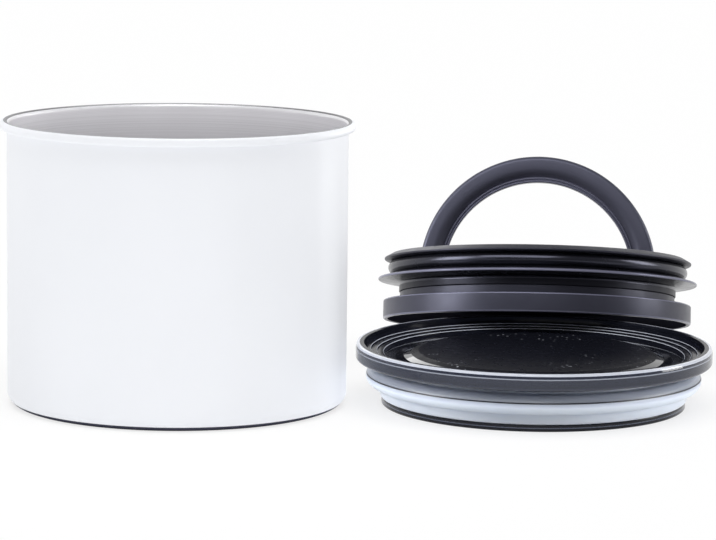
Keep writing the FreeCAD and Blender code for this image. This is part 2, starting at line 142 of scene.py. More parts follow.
_, LEG_BOTTOM, ARCH_TOP = reach("handle", LEANING)
ARCH_GAP = 5.1
ARCH_WIDTH = 7.9
ARCH_OUTER = RECESS_RADIUS - ARCH_GAP
ARCH_INNER = ARCH_OUTER - ARCH_WIDTH
ARCH_CENTRE = ARCH_TOP - ARCH_OUTER


# Outlines


def corner_points(corners):
    """Points at each (radius, height) or (radius, height, fillet) corner: itself, or its fillet's arc."""
    groups = []
    for index, corner in enumerate(corners):
        here = Vector(corner[:2])
        fillet = corner[2] if len(corner) == 3 else 0
        if not fillet:
            groups.append([here])
            continue
        points = []
        back = (Vector(corners[index - 1][:2]) - here).normalized()
        ahead = (Vector(corners[index + 1][:2]) - here).normalized()
        half = back.angle(ahead) / 2
        centre = here + (back + ahead).normalized() * fillet / math.sin(half)
        first = here + back * fillet / math.tan(half) - centre
        turn = -math.copysign(math.pi - 2 * half, back.cross(ahead))
        for step in range(ARC_STEPS + 1):
            angle = turn * step / ARC_STEPS
            points.append(centre + Matrix.Rotation(angle, 2) @ first)
        groups.append(points)
    return groups


def rounded(corners):
    """Points of a whole outline through its corners."""
    return [point for points in corner_points(corners) for point in points]


def edged(corners, flat, edge):
    """Outline in stretches: the runs between corners in one material, the corners' arcs in another."""
    stretches = []
    last = None
    for points in corner_points(corners):
        if last is not None:
            stretches.append((flat, [last, points[0]]))
        if len(points) > 1:
            stretches.append((edge, points))
        last = points[-1]
    return stretches


def arc(centre, radius, start, finish, steps=ARC_STEPS * 2):
    """Points on a circle, from one angle to another in degrees."""
    points = []
    for step in range(steps + 1):
        angle = math.radians(start + (finish - start) * step / steps)
        point = (centre[0] + radius * math.cos(angle), centre[1] + radius * math.sin(angle))
        points.append(Vector(point))
    return points


# Pieces


def drilled(mesh, holes):
    """Mesh with round holes cut in it. A hole is (place, radius, length) along the place's Z, in metres."""
    cutter_data = bmesh.new()
    for place, radius, length in holes:
        bmesh.ops.create_cone(cutter_data, cap_ends=True, segments=HOLE_SEGMENTS, radius1=radius,
                              radius2=radius, depth=length, matrix=place)
    cutter_mesh = bpy.data.meshes.new("cutter")
    cutter_data.to_mesh(cutter_mesh)
    cutter_data.free()
    cutter = bpy.data.objects.new("cutter", cutter_mesh)
    block = bpy.data.objects.new("block", mesh)
    for item in (cutter, block):
        bpy.context.scene.collection.objects.link(item)
    cut = block.modifiers.new("holes", "BOOLEAN")
    cut.operation = "DIFFERENCE"
    cut.solver = "EXACT"
    cut.object = cutter
    finished = block.evaluated_get(bpy.context.evaluated_depsgraph_get())
    result = bpy.data.meshes.new_from_object(finished)
    for item in (cutter, block):
        bpy.data.objects.remove(item)
    return result


def rod_hole(clearance):
    """Hole for the rod, right across the lid."""
    length = 0.2
    place = Matrix.Translation((0, 0, ROD_HEIGHT * MM)) @ SIDEWAYS
    return place, (ROD_RADIUS + clearance) * MM, length


def add_piece(name, shape, place, body, nodes, holes=()):
    """Puts a shape, which is a mesh and its materials, in its place on a body, for the nodes it replaces."""
    mesh_data, materials = shape
    mesh = bpy.data.meshes.new(name)
    bmesh.ops.remove_doubles(mesh_data, verts=mesh_data.verts, dist=WELD)
    bmesh.ops.recalc_face_normals(mesh_data, faces=mesh_data.faces)
    mesh_data.to_mesh(mesh)
    mesh_data.free()
    if holes:
        mesh = drilled(mesh, holes)
    mesh.shade_smooth()
    mesh.set_sharp_from_angle(angle=SHARP)
    for material in materials:
        mesh.materials.append(material)
    piece = bpy.data.objects.new(name, mesh)
    bpy.context.scene.collection.objects.link(piece)
    piece.matrix_world = place
    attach(piece, body)
    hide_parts(*nodes)
    return piece


def turned(stretches):
    """Mesh of outline stretches turned once round the axis, and its materials.

    A stretch is (material, points).
    """
    materials = list(dict.fromkeys(material for material, _ in stretches))
    mesh_data = bmesh.new()
    for material, points in stretches:
        rings = []
        for point in points:
            radius = point.x * MM
            height = point.y * MM
            ring = []
            for segment in range(SEGMENTS):
                angle = 2 * math.pi * segment / SEGMENTS
                corner = (radius * math.cos(angle), radius * math.sin(angle), height)
                ring.append(mesh_data.verts.new(corner))
            rings.append(ring)
        for lower, upper in zip(rings, rings[1:]):
            for segment in range(SEGMENTS):
                following = (segment + 1) % SEGMENTS
                corners = (lower[segment], lower[following], upper[following], upper[segment])
                face = mesh_data.faces.new(corners)
                face.material_index = materials.index(material)
    return mesh_data, materials


def swept_arch(section_at, chamfer, lip_radius, materials):
    """Mesh of sections in (radius, depth) carried up one leg, round the half circle and down the other leg.

    The faces within the lip's radius have the second of its two materials.
    """
    half_section = 4
    foot = section_at(0)
    middle = sum(foot, Vector((0, 0))) / len(foot)
    inset = [middle + (point - middle) * (1 - chamfer / half_section) for point in foot]
    angles = [math.pi * step / ARCH_STEPS for step in range(ARCH_STEPS + 1)]
    stations = [(inset, 0, LEG_BOTTOM), (foot, 0, LEG_BOTTOM + chamfer)]
    stations += [(section_at(angle), angle, ARCH_CENTRE) for angle in angles]
    stations += [(foot, math.pi, LEG_BOTTOM + chamfer), (inset, math.pi, LEG_BOTTOM)]
    mesh_data = bmesh.new()
    rings = []
    for outline, angle, height in stations:
        ring = []
        for point in outline:
            across = point.x * math.cos(angle)
            rise = height + point.x * math.sin(angle)
            ring.append(mesh_data.verts.new(Vector((across, point.y, rise)) * MM))
        rings.append(ring)
    count = len(foot)
    for first, second in zip(rings, rings[1:]):
        for index in range(count):
            following = (index + 1) % count
            corners = (first[index], first[following], second[following], second[index])
            face = mesh_data.faces.new(corners)
            on_lip = max(foot[index].x, foot[following].x) < lip_radius
            face.material_index = 1 if on_lip else 0
    mesh_data.faces.new(rings[0])
    mesh_data.faces.new(rings[-1])
    return mesh_data, materials


# Materials

NOISE_LOW = 0.3
NOISE_HIGH = 0.7


def combined(tree, operation, first, second):
    """Output of a Math node. Its second input is another output, or a plain number."""
    node = tree.nodes.new("ShaderNodeMath")
    node.operation = operation
    tree.links.new(first, node.inputs[0])
    if isinstance(second, float):
        node.inputs[1].default_value = second
    else:
        tree.links.new(second, node.inputs[1])
    return node.outputs[0]


def ranged(tree, value, low, high, first, last):
    """Value mapped from one range on to another, and held at its ends."""
    node = tree.nodes.new("ShaderNodeMapRange")
    numbers = {"From Min": low, "From Max": high, "To Min": first, "To Max": last}
    for name, number in numbers.items():
        node.inputs[name].default_value = number
    tree.links.new(value, node.inputs["Value"])
    return node.outputs["Result"]


class Nodes:
    """Node tree of one material, with short ways to add and link what it needs."""

    def __init__(self, name):
        self.material = bpy.data.materials.new(name)
        self.material.use_nodes = True
        self.tree = self.material.node_tree
        self.shader = self.tree.nodes["Principled BSDF"]
        self.place = self.add("ShaderNodeTexCoord").outputs["Object"]

    def add(self, kind, **values):
        node = self.tree.nodes.new(kind)
        for name, value in values.items():
            node.inputs[name.replace("_", " ")].default_value = value
        return node

    def link(self, output, target):
        self.tree.links.new(output, target)

    def feed(self, output, socket):
        self.link(output, self.shader.inputs[socket])

    def set(self, **values):
        for name, value in values.items():
            self.shader.inputs[name.replace("_", " ")].default_value = value

    def split_place(self):
        """Outputs X, Y and Z of the place on the piece."""
        parts = self.add("ShaderNodeSeparateXYZ")
        self.link(self.place, parts.inputs["Vector"])
        return parts.outputs

    def noise(self, scale, detail, stretch=None):
        """Noise over the piece, whose grain is 1 / scale metres, or finer along a stretched axis."""
        noise = self.add("ShaderNodeTexNoise", Scale=scale, Detail=detail)
        if stretch:
            mapping = self.add("ShaderNodeMapping", Scale=stretch)
            self.link(self.place, mapping.inputs["Vector"])
            self.link(mapping.outputs["Vector"], noise.inputs["Vector"])
        else:
            self.link(self.place, noise.inputs["Vector"])
        return noise.outputs["Fac"]

    def rings(self, scale, detail):
        """Noise in fine rings round the axis, on walls and floors alike."""
        parts = self.split_place()
        flat = self.add("ShaderNodeCombineXYZ")
        self.link(parts["X"], flat.inputs["X"])
        self.link(parts["Y"], flat.inputs["Y"])
        radius = self.add("ShaderNodeVectorMath")
        radius.operation = "LENGTH"
        self.link(flat.outputs["Vector"], radius.inputs[0])
        noise = self.add("ShaderNodeTexNoise", Scale=scale, Detail=detail)
        noise.noise_dimensions = "1D"
        along = combined(self.tree, "ADD", radius.outputs["Value"], parts["Z"])
        self.link(along, noise.inputs["W"])
        return noise.outputs["Fac"]

    def fade(self, colour, dim_height, full_height, share):
        """Painted shade: colour in full at one height in metres, fading to a share of it at another."""
        factor = ranged(self.tree, self.split_place()["Z"], dim_height, full_height, share, 1.0)
        scaled = self.add("ShaderNodeVectorMath")
        scaled.operation = "SCALE"
        self.link(colour, scaled.inputs[0])
        self.link(factor, scaled.inputs["Scale"])
        return scaled.outputs["Vector"]

    def spread(self, value, low, high):
        """Maps a noise value on to a range."""
        return ranged(self.tree, value, NOISE_LOW, NOISE_HIGH, low, high)

    def tint(self, value, dark, light):
        """Colour between two shades, by a noise value."""
        ramp = self.add("ShaderNodeValToRGB")
        ends = zip(ramp.color_ramp.elements, (NOISE_LOW, NOISE_HIGH), (dark, light))
        for element, position, shade in ends:
            element.position = position
            element.color = (*shade, 1)
        self.link(value, ramp.inputs["Fac"])
        return ramp.outputs["Color"]

    def bump(self, value, height):
        """Relief of that height in metres on the shader."""
        node = self.add("ShaderNodeBump", Strength=1.0, Distance=height)
        self.link(value, node.inputs["Height"])
        self.feed(node.outputs["Normal"], "Normal")


def make_coat():
    """White powder coat: faint orange peel and a slightly uneven sheen."""
    nodes = Nodes("white_coat")
    colour = nodes.tint(nodes.noise(14, 3), (0.80, 0.815, 0.85), (0.83, 0.845, 0.88))
    nodes.feed(colour, "Base Color")
    nodes.feed(nodes.spread(nodes.noise(60, 3), 0.42, 0.52), "Roughness")
    nodes.bump(nodes.noise(900, 2), 0.00001)
    nodes.set(Specular_IOR_Level=0.4)
    return nodes.material


def make_steel(name, shade, metal, share):
    """Satin steel, finely lined round the pot, with painted shade down to a share of its shade below the rim.
    """
    dim_height = 0.0865
    full_height = 0.1000
    nodes = Nodes(name)
    lines = nodes.rings(2200, 4)
    colour = nodes.tint(lines, [0.88 * part for part in shade], shade)
    nodes.feed(nodes.fade(colour, dim_height, full_height, share), "Base Color")
    nodes.feed(nodes.spread(lines, 0.32, 0.42), "Roughness")
    nodes.bump(lines, 0.000003)
    nodes.set(Metallic=metal)
    return nodes.material


def make_smoke(name, shade, clearness, gloss=0.5, smooth=0.03, rough=0.09):
    """Smoke-dark clear plastic: glossy, faintly lined by its turned mould, with scuffs."""
    nodes = Nodes(name)
    colour = nodes.tint(nodes.rings(900, 3), [0.7 * part for part in shade], shade)
    nodes.feed(colour, "Base Color")
    nodes.feed(nodes.spread(nodes.noise(260, 6), smooth, rough), "Roughness")
    nodes.bump(nodes.noise(120, 2), 0.000004)
    nodes.set(Transmission_Weight=clearness, IOR=1.5, Specular_IOR_Level=gloss)
    return nodes.material


def make_dusty_smoke(name, shade, gloss):
    """Smoke-dark plastic of the lid's disc: duller, with patches of fine dust on it."""
    dust_shade = (0.32, 0.33, 0.37)
    nodes = Nodes(name)
    specks = nodes.add("ShaderNodeTexVoronoi", Scale=420.0)
    nodes.link(nodes.place, specks.inputs["Vector"])
    near = ranged(nodes.tree, specks.outputs["Distance"], 0.12, 0.20, 1.0, 0.0)
    patches = ranged(nodes.tree, nodes.noise(45, 3), 0.56, 0.66, 0.0, 1.0)
    ramp = nodes.add("ShaderNodeValToRGB")
    ramp.color_ramp.elements[0].color = (*shade, 1)
    ramp.color_ramp.elements[1].color = (*dust_shade, 1)
    nodes.link(combined(nodes.tree, "MULTIPLY", near, patches), ramp.inputs["Fac"])
    nodes.feed(ramp.outputs["Color"], "Base Color")
    nodes.feed(nodes.spread(nodes.noise(260, 6), 0.24, 0.36), "Roughness")
    nodes.bump(nodes.noise(120, 2), 0.000004)
    nodes.set(Specular_IOR_Level=gloss, IOR=1.5)
    return nodes.material


def make_silicone(name, strength, dim_height=0.0, full_height=0.001, share=1.0):
    """Milky see-through silicone at a strength of its shade, with painted shade fading it to a share of that
    at one height.
    """
    milky_dark = (0.74, 0.81, 0.97)
    milky_light = (0.78, 0.85, 1.0)
    nodes = Nodes(name)
    shades = [[strength * part for part in shade] for shade in (milky_dark, milky_light)]
    colour = nodes.tint(nodes.noise(40, 3), *shades)
    nodes.feed(nodes.fade(colour, dim_height, full_height, share), "Base Color")
    nodes.feed(nodes.spread(nodes.noise(150, 4), 0.28, 0.40), "Roughness")
    nodes.bump(nodes.noise(60, 2), 0.000008)
    nodes.set(Transmission_Weight=0.3, IOR=1.41, Subsurface_Weight=0.7, Subsurface_Scale=0.004,
              Subsurface_Radius=(1.0, 1.0, 1.0))
    return nodes.material


def make_black(name, shades, sheen, grain, relief, specular=0.5):
    """Black moulded material: an even grain, and a soft sheen between two roughnesses."""
    cool = (1.0, 1.01, 1.42)
    nodes = Nodes(name)
    colours = [[shade * part for part in cool] for shade in shades]
    nodes.feed(nodes.tint(nodes.noise(35, 4), *colours), "Base Color")
    nodes.feed(nodes.spread(nodes.noise(180, 4), *sheen), "Roughness")
    nodes.bump(nodes.noise(grain, 3), relief)
    nodes.set(Specular_IOR_Level=specular, Specular_Tint=(0.74, 0.76, 1.0, 1.0))
    return nodes.material


def make_rod_steel():
    """Drawn steel rod, lined along its length."""
    nodes = Nodes("drawn_steel")
    lines = nodes.noise(6, 4, stretch=(1, 300, 300))
    nodes.feed(nodes.tint(lines, (0.5, 0.5, 0.5), (0.62, 0.62, 0.62)), "Base Color")
    nodes.feed(nodes.spread(lines, 0.22, 0.34), "Roughness")
    nodes.set(Metallic=1.0)
    return nodes.material


PLASTIC_GRAIN = 1400
HANDLE_GRAIN = 1600
RUBBER_GRAIN = 900
SMOOTH_RELIEF = 0.000004
PLASTIC_RELIEF = 0.000008
COARSE_RELIEF = 0.00001
SCUFFED = {"smooth": 0.08, "rough": 0.16}

coat = make_coat()
# Painted shade: the inside steel darkens to 0.80 of its shade below the rim.
steel = make_steel("satin_steel", (0.96, 0.95, 0.98), metal=0.15, share=0.80)
# Bare steel edge of the rim, painted darker than steel for the dark reflection along the rim.
edge_steel_painted_reflection = make_steel("rim_edge_steel", (0.22, 0.22, 0.23), metal=1.0, share=1.0)
# Painted shade: matte black without gloss on the pot's underside, for the contact shade at its base.
base_painted_shade = make_black("base_painted_shade", (0.050, 0.065), (0.5, 0.6), RUBBER_GRAIN, COARSE_RELIEF, specular=0.0)

smoke_rim = make_smoke("smoke_rim", (0.066, 0.079, 0.134), clearness=0.6)
# Painted highlight: a thin pale line round the lid's side.
smoke_painted_edge_line = make_smoke("smoke_painted_edge_line", (0.50, 0.54, 0.64), clearness=0.3, **SCUFFED)
# Painted shade: near-black copies of the smoke plastic on the steps, moat, disc and underside, darker than
# the rim's own plastic.
smoke_step_painted_shade = make_smoke("smoke_step_painted_shade", (0.010, 0.011, 0.018), clearness=0.2, gloss=0.02, **SCUFFED)
smoke_moat_painted_shade = make_smoke("smoke_moat_painted_shade", (0.012, 0.013, 0.020), clearness=0.3)
smoke_foot_painted_shade = make_smoke("smoke_foot_painted_shade", (0.010, 0.012, 0.020), clearness=0.12, gloss=0.2)
# Painted highlight: pale plastic on the rim's crown and land and on the steps' rounded corners.
smoke_painted_highlight = make_smoke("smoke_painted_highlight", (0.80, 0.84, 0.95), clearness=0.15, **SCUFFED)
smoke_disc_painted_shade = make_dusty_smoke("smoke_disc_painted_shade", (0.006, 0.0065, 0.010), gloss=0.012)

# Painted shade: the band darkens towards its top under the lid's skirt; the groove is painted near-black, and
# the top above it greyer, darkest by the groove.
silicone = make_silicone("milky_silicone", 1.0, dim_height=0.0117, full_height=0.0092, share=0.27)
silicone_groove_painted_shade = make_silicone("silicone_groove_painted_shade", 0.03)
silicone_top_painted_shade = make_silicone("silicone_top_painted_shade", 0.70, dim_height=BULB_GROOVE * MM, full_height=BULB_TOP * MM,
                             share=0.38)

tray_plastic = make_black("tray_plastic", (0.012, 0.016), (0.34, 0.42), PLASTIC_GRAIN, PLASTIC_RELIEF, 0.35)
drum_plastic = make_black("drum_plastic", (0.022, 0.028), (0.31, 0.39), PLASTIC_GRAIN, PLASTIC_RELIEF, 0.35)
plate_plastic = make_black("plate_plastic", (0.012, 0.016), (0.48, 0.58), PLASTIC_GRAIN, PLASTIC_RELIEF, 0.0)
# Painted highlight: lighter plastic on the drum's rounded edges.
drum_edge = make_black("drum_edge", (0.090, 0.110), (0.16, 0.24), PLASTIC_GRAIN, SMOOTH_RELIEF)
handle_plastic = make_black("handle_plastic", (0.036, 0.044), (0.33, 0.42), HANDLE_GRAIN, COARSE_RELIEF)
# Painted highlight: lighter plastic on the handle's inner lip.
handle_lip_painted_highlight = make_black("handle_lip_painted_highlight", (0.070, 0.085), (0.20, 0.28), HANDLE_GRAIN, SMOOTH_RELIEF)
black_rubber = make_black("black_rubber", (0.003, 0.005), (0.20, 0.28), RUBBER_GRAIN, SMOOTH_RELIEF)
rubber_foot = make_black("rubber_foot", (0.004, 0.007), (0.34, 0.42), RUBBER_GRAIN, SMOOTH_RELIEF, 0.2)
# Painted highlight: lighter rubber on the fin's rounded edge.
rubber_lip_painted_highlight = make_black("rubber_lip_painted_highlight", (0.095, 0.120), (0.18, 0.26), RUBBER_GRAIN, SMOOTH_RELIEF)
rod_steel = make_rod_steel()


# Canister


def make_canister():
    """White pot, with a bare steel edge on its rolled rim, painted darker for the reflection there, and a
    black underside of painted shade.
    """
    coat_start = -38
    curl_end = -60
    edge_start = 82
    edge_end = 132
    bore_top = CANISTER_HEIGHT - RIM_ROLL - 1
    roll_centre = (BORE + RIM_ROLL, CANISTER_HEIGHT - RIM_ROLL)
    corner_centre = (BORE + SHELL_WALL - BASE_CORNER, BASE_CORNER)
    # Painted shade: the underside, up to where the coat starts on the base corner, is matte black.
    underside = [Vector((0, 0))] + arc(corner_centre, BASE_CORNER, -90, coat_start)
    outside = arc(corner_centre, BASE_CORNER, coat_start, 0)
    outside += arc(roll_centre, RIM_ROLL - SHELL_WALL, 180, curl_end)
    outside += arc(roll_centre, RIM_ROLL, curl_end, edge_start)
    # Painted reflection: the darkened steel on the rim's edge.
    edge = arc(roll_centre, RIM_ROLL, edge_start, edge_end)
    inside = arc(roll_centre, RIM_ROLL, edge_end, 180)
    inside += rounded([(BORE, bore_top), (BORE, SHELL_WALL, BASE_CORNER - SHELL_WALL), (0, SHELL_WALL)])
    stretches = [(coat, outside), (steel, inside), (edge_steel_painted_reflection, edge), (base_painted_shade, underside)]
    return add_piece("canister", turned(stretches), UPRIGHT, "canister", ["canister_shell"])


# Outer lid


def make_outer_lid():
    """Shallow dish on a hollow plug: painted highlights on the rim's crown and land, a painted highlight line
    round its side and on the steps' corners, three steps, a moat and a dusty disc; the steps, moat, disc and
    underside are darker copies of the smoke plastic as painted shade.
    """
    plug_lip = PLUG_RADIUS + 2.4
    plug_bore = PLUG_RADIUS - 2.6
    foot_line_low = 1.2
    foot_line_high = 1.6
    foot_line_depth = 0.15
    # Height of the painted highlight line on the lid's side.
    edge_line = LID_TOP - 1.9
    edge_line_half = 0.2
    draft = 0.2
    crown_start = LID_TOP - 0.8
    land_end = LID_EDGE - 1.4
    dish = LID_EDGE - 3.2
    ledge_end = LID_TOP - 0.6
    first_step = 19.6
    step_count = 3
    step_width = 2.3
    step_drop = 0.6
    step_round = 0.18
    moat_edge = dish - 7.5
    moat_floor = 17.2
    moat_under = 15.2
    moat_inner = 47.0
    slope_middle = (44.25, 18.05)
    disc_edge = 41.5
    disc_top = 18.9
    disc_under = 16.9
    foot = rounded([
        (0, disc_under),
        (disc_edge, disc_under, 1.0),
        (moat_inner, moat_under, 1.0),
        (plug_bore, moat_under, 1.0),
        (plug_bore, 0, 0.4),
        (plug_lip, 0, 0.5),
        (plug_lip, foot_line_low),
    ])
    foot_line = rounded([
        (plug_lip, foot_line_low),
        (plug_lip - foot_line_depth, foot_line_low + foot_line_depth),
        (plug_lip, foot_line_high),
    ])
    plug = rounded([
        (plug_lip, foot_line_high),
        (plug_lip, BAND_BOTTOM, 0.4),
        (PLUG_RADIUS, BAND_BOTTOM, 0.2),
        (PLUG_RADIUS, BAND_TOP),
    ])
    side = rounded([
        (PLUG_RADIUS, BAND_TOP),
        (PLUG_RADIUS, SKIRT_BOTTOM, 0.8),
        (LID_EDGE, SKIRT_BOTTOM, 1.2),
        (LID_EDGE, edge_line - edge_line_half),
    ])
    shoulder = rounded([(LID_EDGE, edge_line + edge_line_half), (LID_EDGE - draft, crown_start)])
    crown = rounded([
        (LID_EDGE - draft, crown_start),
        (LID_EDGE - 2 * draft, LID_TOP, 0.6),
        (land_end, LID_TOP),
    ])
    ledge = rounded([(land_end, LID_TOP), (dish, LID_TOP, 0.4), (dish, ledge_end)])
    step_corners = [(dish, ledge_end), (dish, first_step)]
    for step in range(step_count):
        radius = dish - step_width * (step + 1)
        height = first_step - step_drop * step
        step_corners += [(radius, height, step_round), (radius, height - step_drop)]
    step_corners.append((moat_edge, moat_floor))
    moat = rounded([(moat_edge, moat_floor), (moat_inner, moat_floor, 1.5), slope_middle])
    disc = rounded([slope_middle, (disc_edge, disc_top, 1.5), (0, disc_top)])
    stretches = [
        (smoke_foot_painted_shade, foot),
        (smoke_rim, foot_line),
        (smoke_foot_painted_shade, plug),
        (smoke_rim, side),
        # Painted highlight: a thin pale line round the side.
        (smoke_painted_edge_line, [side[-1], shoulder[0]]),
        (smoke_rim, shoulder),
        (smoke_painted_highlight, crown),
        (smoke_step_painted_shade, ledge),
    ]
    # Painted highlights on the steps' rounded corners.
    stretches += edged(step_corners, smoke_step_painted_shade, smoke_painted_highlight)
    stretches += [(smoke_moat_painted_shade, moat), (smoke_disc_painted_shade, disc)]
    return add_piece("outer_lid", turned(stretches), BESIDE, "outer_lid", ["outer_lid_shell"])


def make_outer_gasket():
    """Silicone band with a round bulb, divided by a fine groove painted dark as shade, into a top painted
    greyer as shade and a pale front.
    """
    groove_start = 12
    groove_end = 19.5
    groove_floor_start = 14
    groove_floor_end = 17.5
    groove_depth = 0.25
    inner = PLUG_RADIUS + FIT
    outer = PLUG_RADIUS + 2.8
    bulb_centre = (BULB_CROWN - BULB_RADIUS, BULB_LEVEL)
    lower = rounded([
        (inner, BAND_BOTTOM),
        (outer, BAND_BOTTOM, 0.5),
        (outer, BULB_BOTTOM, 0.6),
        (bulb_centre[0], BULB_BOTTOM),
    ])
    lower += arc(bulb_centre, BULB_RADIUS, -90, groove_start)
    upper = arc(bulb_centre, BULB_RADIUS, groove_end, 90)
    upper += rounded([
        (bulb_centre[0], BULB_TOP),
        (outer, BULB_TOP, 0.2),
        (outer, BAND_TOP, 0.2),
        (inner, BAND_TOP),
        (inner, BAND_BOTTOM),
    ])
    groove_floor = arc(bulb_centre, BULB_RADIUS - groove_depth, groove_floor_start, groove_floor_end, steps=2)
    groove = [lower[-1]] + groove_floor + [upper[0]]
    # Painted shade in the groove and on the top; the lower stretch fades darker upwards.
    stretches = [(silicone, lower), (silicone_groove_painted_shade, groove), (silicone_top_painted_shade, upper)]
    return add_piece("outer_lid_band", turned(stretches), BESIDE, "outer_lid", ["outer_lid_gasket"])


# Inner lid


def make_tray():
    """Black tray: valve well, recess floor, cup wall and a thin top flange, drilled for the rod and vents."""
    stem_guide = 2.06
    well_outer = WELL_RADIUS + WELL_WALL
    well_top = WELL_BOTTOM + 1.6
    flange_under = FLANGE_TOP - 2.9
    flange_tip = flange_under + 0.6
    flange_blade = 0.6
    flange_slope = 3.0
    gasket_edge = SEAT_RADIUS + 4.1
    outline = rounded([
        (stem_guide, WELL_BOTTOM),
        (well_outer, WELL_BOTTOM, 0.4),
        (well_outer, FLOOR_UNDER, 0.6),
        (NECK_RADIUS, FLOOR_UNDER, 0.3),
        (NECK_RADIUS, SHOULDER, 0.3),
        (SEAT_RADIUS, SHOULDER),
        (SEAT_RADIUS, flange_under),
        (gasket_edge, flange_under),
        (FLANGE_RADIUS, flange_tip, 0.4),
        (FLANGE_RADIUS, flange_tip + flange_blade, 0.25),
        (FLANGE_RADIUS - flange_slope, FLANGE_TOP, 0.8),
        (RECESS_RADIUS, FLANGE_TOP, 0.9),
        (RECESS_RADIUS, RECESS_FLOOR, 1.5),
        (WELL_RADIUS, RECESS_FLOOR, 0.4),
        (WELL_RADIUS, well_top, 0.4),
        (stem_guide, well_top),
        (stem_guide, WELL_BOTTOM),
    ])
    vents = 6
    vent_circle = 9.6
    vent_radius = 1.4
    vent_length = 4
    vent_height = WELL_BOTTOM + 0.8
    holes = [rod_hole(clearance=0.06)]
    for vent in range(vents):
        angle = 2 * math.pi / vents * vent
        centre = Vector((vent_circle * math.cos(angle), vent_circle * math.sin(angle), vent_height))
        holes.append((Matrix.Translation(centre * MM), vent_radius * MM, vent_length * MM))
    return add_piece("tray", turned([(tray_plastic, outline)]), LEANING, "inner_lid", ["lid_tray"],
                     holes)


def make_plunger_gasket():
    """Black rubber ring: a foot on the drum, a wiping fin with a painted highlight on its edge, and a round
    bead above it.
    """
    inner = SEAT_RADIUS + FIT
    foot = inner + 1.2
    waist = inner + 4.0
    tip_round = 0.5
    tip = FIN_RADIUS - tip_round
    fin = SHOULDER + 4.95
    fin_under = -84
    painted_highlight_start = -50
    painted_highlight_end = 77
    bead_centre = (waist - 1.0, RING_TOP - 2.4)
    bead_radius = 2.6
    bead_end = 67
    foot_top = fin - 2.6
    base = rounded([(inner, SHOULDER), (foot, SHOULDER, 0.3), (foot, foot_top)])
    below = rounded([(foot, foot_top), (foot, fin - 1.65, 0.9), (tip, fin - tip_round)])
    below += arc((tip, fin), tip_round, fin_under, painted_highlight_start)
    # Painted highlight along the fin's edge.
    lip = arc((tip, fin), tip_round, painted_highlight_start, painted_highlight_end) + [Vector((tip - 1.2, fin + 0.85))]
    above = [lip[-1], Vector((waist, RING_TOP - 4.8))]
    above += arc(bead_centre, bead_radius, -bead_end, bead_end)
    above += rounded([(waist, RING_TOP), (inner, RING_TOP), (inner, SHOULDER)])
    stretches = [(rubber_foot, base), (black_rubber, below), (rubber_lip_painted_highlight, lip), (black_rubber, above)]
    return add_piece("plunger_ring", turned(stretches), LEANING, "inner_lid", ["plunger_gasket"])


def make_drum():
    """Hollow black drum, with painted highlights on its rounded edges."""
    skin = 1.6
    hub = NECK_RADIUS + FIT
    hub_edge = hub - 5.4
    seat = DRUM_RADIUS - skin
    seat_ledge = seat - 0.8
    corners = [
        (hub_edge, FLOOR_UNDER - skin),
        (hub + skin, FLOOR_UNDER - skin),
        (hub + skin, DRUM_HEIGHT - skin),
        (seat_ledge, DRUM_HEIGHT - skin),
        (seat_ledge, BASE_HIGH),
        (seat, BASE_HIGH),
        (seat, 0, 0.2),
        (DRUM_RADIUS, 0, 0.6),
        (DRUM_RADIUS, DRUM_HEIGHT, 0.5),
        (hub, DRUM_HEIGHT),
        (hub, FLOOR_UNDER),
        (hub_edge, FLOOR_UNDER),
        (hub_edge, FLOOR_UNDER - skin),
    ]
    stretches = edged(corners, drum_plastic, drum_edge)
    return add_piece("drum", turned(stretches), LEANING, "inner_lid", ["guide_drum"])


def make_base():
    """Plate that closes the drum from below, round the valve well."""
    opening = WELL_RADIUS + WELL_WALL + FIT
    outline = rounded([
        (opening, BASE_HIGH),
        (opening, BASE_LOW, 0.3),
        (BASE_RADIUS, BASE_LOW, 0.2),
        (BASE_RADIUS, BASE_HIGH),
        (opening, BASE_HIGH),
    ])
    return add_piece("base", turned([(plate_plastic, outline)]), LEANING, "inner_lid", ["base_plate"])


def make_handle():
    """Arched bail on two legs, with two fine ridges on each face of its inner lip, which carries a painted
    highlight.
    """
    leg_share = 0.8
    half_depth = 4.2
    face_slope = 2.2
    lip_width = 2.1
    lip_half_depth = 1.6
    leg_chamfer = 0.6
    lip_edge = ARCH_INNER - 0.05

    def section_at(angle):
        """Section in (radius, depth). The lip is full at the crown and a little thinner at the legs."""
        share = leg_share + (1 - leg_share) * math.sin(angle)
        lip = ARCH_INNER - lip_width * share
        front = [
            (lip, 0.1 * share - lip_half_depth, 0.25 * share),
            (lip + 0.5 * share, -0.5 * share - lip_half_depth, 0.2 * share),
            (lip + 1.05 * share, 0.5 * share - lip_half_depth, 0.12 * share),
            (lip + 1.6 * share, -0.5 * share - lip_half_depth, 0.2 * share),
            (ARCH_INNER, 0.4 * share - lip_half_depth, 0.12 * share),
            (ARCH_INNER + face_slope, -half_depth, 4.2),
            (ARCH_OUTER, -half_depth, 1.6),
        ]
        rear = [(radius, -depth, fillet) for radius, depth, fillet in reversed(front)]
        return rounded([(lip, 0)] + front + rear + [(lip, 0)])[:-1]

    shape = swept_arch(section_at, leg_chamfer, lip_edge, [handle_plastic, handle_lip_painted_highlight])
    return add_piece("bail", shape, LEANING, "handle", ["handle"],
                     [rod_hole(clearance=0.02)])


pot_pieces = [make_canister()]
outer_lid = make_outer_lid()
outer_band = make_outer_gasket()
inner_lid_pieces = [make_tray(), make_plunger_gasket(), make_drum(), make_base(), make_handle()]

carried_nodes = {
    "pivot_rod": rod_steel,
    "valve_cam": handle_plastic,
    "valve_plunger": tray_plastic,
    "valve_disc": black_rubber,
    "valve_cover": tray_plastic,
}
for node, material in carried_nodes.items():
    carried = frame["nodes"][node]
    carried.data.materials.clear()
    carried.data.materials.append(material)
    inner_lid_pieces.append(carried)

